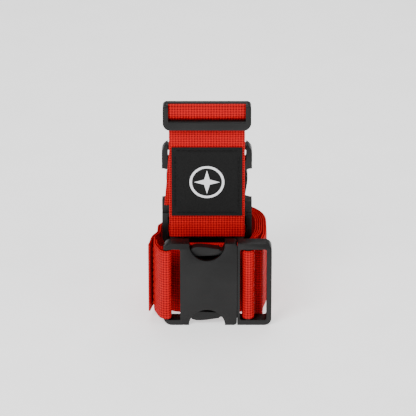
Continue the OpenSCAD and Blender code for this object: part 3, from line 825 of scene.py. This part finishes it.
class STRAP_OT_bundle(bpy.types.Operator):
    """Folds the rest of the second strap behind its buckle, and leads it round that buckle's bars"""
    bl_idname = "strap.bundle"
    bl_label = "Bundle"

    def execute(self, context):
        lay = Lay()
        half = lay.pitch / 2
        low, high = lay.t / 2 + half, lay.stack_top - lay.t / 2 - half
        layers = int(round((lay.stack_back - lay.stack_y) / lay.pitch)) + 1
        path = [(lay.stack_y, FOLDS_JOIN)]
        for i in range(layers - 1):
            y = lay.stack_y + (i + 0.5) * lay.pitch
            # Folds made by hand don't end all at one height
            uneven = 0.5 * math.sin(2.4 * i + 0.6) - 0.5
            if i % 2 == 0:
                path += arc((y, high + uneven), half, 180, 0, 6)
            else:
                path += arc((y, low), half, 180, 360, 6)
        back = lay.stack_back
        path += [(back, lay.stack_top - 2)]
        path += arc((back - 3, lay.stack_top + 2.4), 3, 0, 90, 6)
        path += [(lay.stack_y - 1.2, lay.rear_bar + 2.2)]
        mesh = hung(band(path, COARSE), lay)
        webbing_piece("folded_stack_webbing", mesh, "bundle", ["folded_stack", "stack_lead_in"])

        z, r = lay.rear_bar, END_BAR_R + lay.air + lay.t / 2
        y0, y1 = lay.round_bar(lay.rear_y, 2, 9)
        over = (y0 - lay.flap_y) / 2
        path = [(lay.stack_y - 1.3, z + 2.2), (y1 + 2, z + 1.8), (y1 + 0.3, z + 0.8)]
        path += arc((y1 - r, z), r, 0, -90) + arc((y0 + r, z), r, 270, 180)
        path += arc((lay.flap_y + over, z + 0.8), over, 0, 180, 8) + [(lay.flap_y, lay.flap_end)]
        path = smooth_path(path, 0.9, 0.5)

        def leaning(co):
            """The free flap swings a little to the left."""
            down = np.clip((lay.rear_bar - co[:, 2]) / (lay.rear_bar - lay.flap_end), 0, 1)
            down *= co[:, 1] < lay.rear_y
            co[:, 0] -= 3.4 * down
            return co

        mesh = hung(band(path, COARSE), lay, leaning)
        webbing_piece("hemmed_end", mesh, "bundle", ["rear_socket_loop"])

        z, r = lay.rear_plug_bar, PLUG_BAR_R + lay.air + lay.t / 2
        y0, y1 = lay.round_bar(lay.rear_y, 2.2, 8.7)
        front = lay.front + lay.t / 2 + 3 * lay.pitch
        turn_in = lay.rear_y - lay.air - lay.t / 2
        path = [(front, FOLDS_JOIN), (turn_in - 1.6, 88), (turn_in - 1.6, 76.5), (turn_in, PLUG_SPLIT + 0.4),
                (turn_in, PLUG_SPLIT)]
        path += [(y0 - 1.9, z + 2.1), (y0 - 0.2, z + 0.8)]
        path += arc((y0 + r, z), r, 180, 270) + arc((y1 - r, z), r, 270, 360)
        path += [(y1 + 0.5, z + 1.5), (y1 + 3, z + 3.6), (lay.stack_y - 0.7, PLUG_SPLIT - 1.8),
                 (lay.stack_y, PLUG_SPLIT), (lay.stack_y, FOLDS_JOIN)]
        path = smooth_path(path, 0.9, 0.5)
        mesh = hung(band(path, COARSE), lay)
        loop = webbing_piece("rear_plug_webbing", mesh, None, ["rear_plug_loop"])
        start, end = placed([(0, 0, FOLDS_JOIN - 1), (0, 0, PLUG_SPLIT - 2)])
        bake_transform(loop, "bundle", "rear_plug", start=tuple(start), end=tuple(end))
        return {"FINISHED"}


# ---- Moulded pieces ----

def softened(node, width, segments=3, rim=None):
    """A copy of a moulded node with its edges rounded as a mould rounds them.

    rim says which points of the edges are on a finger recess, and these get the larger radius.
    """
    mesh = frame["nodes"][node].data.copy()
    work = bmesh.new()
    work.from_mesh(mesh)
    bmesh.ops.remove_doubles(work, verts=work.verts, dist=0.004 * MM)
    bmesh.ops.dissolve_limit(work, angle_limit=math.radians(0.6), verts=work.verts, edges=work.edges)
    bmesh.ops.dissolve_degenerate(work, dist=0.01 * MM, edges=work.edges)
    buckle = sizes("buckle")
    layer = work.edges.layers.float.new("bevel_weight_edge")
    share = width / buckle.rim
    for edge in work.edges:
        if len(edge.link_faces) == 2 and edge.calc_face_angle(0.0) > math.radians(28):
            middle = (edge.verts[0].co + edge.verts[1].co) / 2
            edge[layer] = 1.0 if rim and rim(middle) else share
    work.to_mesh(mesh)
    work.free()
    for attribute in [a.name for a in mesh.attributes if a.name.startswith("sharp")]:
        mesh.attributes.remove(mesh.attributes[attribute])
    obj = bpy.data.objects.new("softened", mesh)
    bpy.context.scene.collection.objects.link(obj)
    obj.data.shade_smooth()
    bevel = obj.modifiers.new("Moulded edges", "BEVEL")
    bevel.limit_method = "WEIGHT"
    bevel.width = buckle.rim
    bevel.segments = segments
    bevel.use_clamp_overlap = True
    bevel.harden_normals = True
    done = bpy.data.meshes.new_from_object(obj.evaluated_get(bpy.context.evaluated_depsgraph_get()))
    obj.modifiers.remove(bevel)
    bpy.data.objects.remove(obj)
    return done


# The finger recesses: how far out their middles are, and a radius just over theirs, in mm
RECESS_OUT = 30.0
RECESS_R = 12.3


def recess_rim(middle, upright):
    """Whether a point, in metres, is on the edge of a finger recess of the front or the rear buckle."""
    def test(point):
        x, _, z = np.array(point) / MM - ORIGIN
        across, along = (x, z - middle) if upright else (z - middle, x)
        return min(math.hypot(across - side * RECESS_OUT, along) for side in (-1, 1)) < RECESS_R
    return test


class STRAP_OT_buckles(bpy.types.Operator):
    """Rounds the edges of both buckles' sockets, plugs and prongs, and of the slider"""
    bl_idname = "strap.buckles"
    bl_label = "Buckles and slider"

    def execute(self, context):
        buckle = sizes("buckle")
        lay = Lay()
        body_of = {n: b for b, nodes in frame["record"]["behaviour"]["bodies"].items() for n in nodes}
        rear_middle = mm_box("rear_buckle_plug")[0][2] + 43.0
        rims = {"front_buckle_socket": recess_rim(lay.buckle_z, False),
                "rear_buckle_socket": recess_rim(rear_middle, True)}
        moulded = ["front_buckle_socket", "front_buckle_plug", "front_prong_top", "front_prong_bottom",
                   "rear_buckle_socket", "rear_buckle_plug", "rear_prong_left", "rear_prong_right",
                   "slider_frame"]
        for node in moulded:
            mesh = softened(node, buckle.edge, rim=rims.get(node))
            settled(new_piece("moulded_" + node, mesh, "Moulded acetal"), body_of[node], [node])
        return {"FINISHED"}


# ---- Label ----

def stitches(name, lines, finish, body, nodes):
    """One piece of stitches, each along its own line of points in metres."""
    mesh = bpy.data.meshes.new(name)
    points, edges = [], []
    for line in lines:
        edges += [(len(points) + i, len(points) + i + 1) for i in range(len(line) - 1)]
        points += [tuple(p) for p in line]
    mesh.from_pydata(points, edges, [])
    mesh = through_tree(mesh, "Stitches", **{"Thread": sizes("label").thread, "Material": finish_of(finish)})
    return settled(new_piece(name, mesh, finish), body, nodes)


def stitch_line(a, b, lift, out):
    """A stitch from a to b in mm, arched by lift in the direction out."""
    a, b, out = np.array(a, float), np.array(b, float), np.array(out, float)
    made = [a + (b - a) * t + out * lift * (1 - (2 * t - 1) ** 2) for t in np.linspace(0, 1, 7)]
    return placed(made)


class STRAP_OT_label(bpy.types.Operator):
    """Makes the label with its seam and its printed emblem"""
    bl_idname = "strap.label"
    bl_label = "Label"

    def execute(self, context):
        label = sizes("label")
        low, high = mm_box("label_patch")
        inset, thread = label.stitch_in / MM, label.thread / MM
        nx, nz, rounding = 110, 118, 0.28
        xs, zs = np.linspace(low[0], high[0], nx), np.linspace(low[2], high[2], nz)
        grid_x, grid_z = np.meshgrid(xs, zs)
        edge = np.minimum.reduce([grid_x - low[0], high[0] - grid_x, grid_z - low[2], high[2] - grid_z])
        # Rounded cut edges, a groove where the seam pulls the face in, and slow unevenness
        face = low[1] + rounding * np.clip(1 - edge / 0.55, 0, 1) ** 2
        face += 0.16 * np.exp(-((edge - inset) / 0.55) ** 2)
        face -= 0.05 * np.sin(grid_x * 0.31 + 1) * np.sin(grid_z * 0.27)
        face = np.maximum(face, low[1] + 0.02)
        back = np.full_like(face, high[1])
        points = np.concatenate([np.stack([grid_x, face, grid_z], -1).reshape(-1, 3),
                                 np.stack([grid_x, back, grid_z], -1).reshape(-1, 3)])
        count = nx * nz
        at = lambda i, j, side: side * count + j * nx + i
        faces = []
        for j in range(nz - 1):
            for i in range(nx - 1):
                faces.append((at(i, j, 0), at(i + 1, j, 0), at(i + 1, j + 1, 0), at(i, j + 1, 0)))
                faces.append((at(i, j, 1), at(i, j + 1, 1), at(i + 1, j + 1, 1), at(i + 1, j, 1)))
        border = [(i, 0) for i in range(nx)] + [(nx - 1, j) for j in range(1, nz)]
        border += [(i, nz - 1) for i in range(nx - 2, -1, -1)] + [(0, j) for j in range(nz - 2, 0, -1)]
        for a, b in zip(border, border[1:] + border[:1]):
            faces.append((at(*b, 0), at(*a, 0), at(*a, 1), at(*b, 1)))
        mesh = bpy.data.meshes.new("label")
        mesh.from_pydata([tuple(p) for p in placed(points)], [], faces)
        mesh.shade_smooth()
        mesh.set_sharp_from_angle(angle=math.radians(50))
        obj = settled(new_piece("label", mesh, "Coated leatherette"), "bundle", ["label_patch"])

        step, size = label.stitch_step / MM, label.stitch / MM
        wide, tall = high[0] - low[0] - 2 * inset, high[2] - low[2] - 2 * inset
        middle = (low + high) / 2
        y, lines = low[1] + 0.1, []
        for n, span, other, flip in ((int((wide - size) // step), wide, tall, False),
                                     (int((tall - size) // step) - 2, tall, wide, True)):
            for i in range(n + 1):
                a = (i - n / 2) * step - size / 2
                for side in (-1, 1):
                    ends = [(a, side * other / 2), (a + size, side * other / 2)]
                    if flip:
                        ends = [(v, u) for u, v in ends]
                    p, q = ((middle[0] + u, y, middle[2] + v) for u, v in ends)
                    lines.append(stitch_line(p, q, thread * 0.45, (0, -1, 0)))
        stitches("label_seam", lines, "Black bonded thread", "bundle", ["label_stitching"])

        mesh = softened("label_emblem", 0.08 * MM, segments=2)
        settled(new_piece("compass_rose", mesh, "Screen-printed ink"), "bundle", ["label_emblem"])
        return {"FINISHED"}


class STRAP_OT_seams(bpy.types.Operator):
    """Sews the hems and the bar tacks of the webbing"""
    bl_idname = "strap.seams"
    bl_label = "Seams"

    def execute(self, context):
        lay = Lay()
        size = sizes("label").stitch / MM
        for node, body, out, along in (("tail_hem_stitching", "coil", (-1, 0, 0), 2),
                                       ("front_loop_stitching", "coil", (-1, 0, 0), 2),
                                       ("flap_hem_stitching", "bundle", (0, -1, 0), 0)):
            lines = []
            for centre in islands(node):
                a, b = centre.copy(), centre.copy()
                a[along] -= size / 2
                b[along] += size / 2
                lines.append(stitch_line(a, b, 0.12, out))
            stitches("sewn_" + node, lines, "Red bonded thread", body, [node])
        return {"FINISHED"}


def islands(node):
    """Centres of a node's separate solids, in mm in the coil's frame."""
    work = bmesh.new()
    work.from_mesh(frame["nodes"][node].data)
    bmesh.ops.remove_doubles(work, verts=work.verts, dist=0.001 * MM)
    left, centres = set(work.verts), []
    while left:
        grown, queue = set(), [left.pop()]
        while queue:
            vert = queue.pop()
            grown.add(vert)
            for edge in vert.link_edges:
                other = edge.other_vert(vert)
                if other in left:
                    left.discard(other)
                    queue.append(other)
        co = np.array([v.co for v in grown]) / MM - ORIGIN
        centres.append((co.min(axis=0) + co.max(axis=0)) / 2)
    work.free()
    return sorted(centres, key=lambda c: tuple(np.round(c, 3)))


# ---- Stage ----

class STRAP_OT_stage(bpy.types.Operator):
    """Sets the floor, the lights and the camera"""
    bl_idname = "strap.stage"
    bl_label = "Stage"

    def execute(self, context):
        mesh = bpy.data.meshes.new("floor")
        size = 4.0
        corners = [(-size, -size, 0), (size, -size, 0), (size, size, 0), (-size, size, 0)]
        mesh.from_pydata(corners, [], [(0, 1, 2, 3)])
        floor = new_piece("floor", mesh, "Opal acrylic")
        world = bpy.data.worlds.new("Soft white room")
        context.scene.world = world
        world.use_nodes = True
        back = world.node_tree.nodes["Background"]
        back.inputs["Color"].default_value = (1.0, 1.0, 1.0, 1.0)
        back.inputs["Strength"].default_value = 0.28
        middle = np.array([0.0, 0.0, 0.075])
        for name, place, side, power in (("Key", (-0.45, -0.75, 0.85), 0.5, 11.0),
                                         ("Fill", (0.85, -0.55, 0.45), 0.6, 3.5),
                                         ("Top", (0.05, 0.45, 0.95), 0.7, 6.0)):
            light = bpy.data.lights.new(name, "AREA")
            light.energy = power
            light.size = side
            lamp = bpy.data.objects.new(name, light)
            context.scene.collection.objects.link(lamp)
            lamp.location = place
            lamp.rotation_euler = aim(middle - np.array(place))
        camera = bpy.data.cameras.new("Camera")
        camera.lens = 257.0
        camera.sensor_width = 36.0
        eye = bpy.data.objects.new("Camera", camera)
        context.scene.collection.objects.link(eye)
        target = np.array([-0.0012, 0.0, 0.0658])
        lift, away = math.radians(24.5), 2.0
        eye.location = target + away * np.array([0.0, -math.cos(lift), math.sin(lift)])
        eye.rotation_euler = aim(target - np.array(eye.location))
        context.scene.camera = eye
        return {"FINISHED"}


def aim(direction):
    """The turn that points a lamp or a camera along a direction."""
    return Vector(tuple(direction)).to_track_quat("-Z", "Y").to_euler()


# ---- Panel and registration ----

OPERATORS = (STRAP_OT_coil, STRAP_OT_front_loops, STRAP_OT_front_panel, STRAP_OT_slider_loop, STRAP_OT_bundle,
             STRAP_OT_buckles, STRAP_OT_label, STRAP_OT_seams, STRAP_OT_stage)


class STRAP_PT_panel(bpy.types.Panel):
    """Lists the pieces of the straps in the 3D view's sidebar"""
    bl_label = "Packed luggage straps"
    bl_idname = "STRAP_PT_panel"
    bl_space_type = "VIEW_3D"
    bl_region_type = "UI"
    bl_category = "Straps"

    def draw(self, context):
        for kind in KINDS:
            box = self.layout.box()
            box.label(text=kind.capitalize())
            for name in sizes(kind).bl_rna.properties.keys():
                if name not in ("rna_type", "name"):
                    box.prop(sizes(kind), name)
        for operator in OPERATORS:
            self.layout.operator(operator.bl_idname)


def register():
    for cls in GROUPS + OPERATORS + (STRAP_PT_panel,):
        bpy.utils.register_class(cls)
    for kind, group in zip(KINDS, GROUPS):
        setattr(bpy.types.Scene, "strap_" + kind, bpy.props.PointerProperty(type=group))


def unregister():
    for kind in KINDS:
        delattr(bpy.types.Scene, "strap_" + kind)
    for cls in reversed(GROUPS + OPERATORS + (STRAP_PT_panel,)):
        bpy.utils.unregister_class(cls)


def main():
    register()
    for operator in OPERATORS:
        group, name = operator.bl_idname.split(".")
        getattr(getattr(bpy.ops, group), name)()


if __name__ == "__main__":
    main()
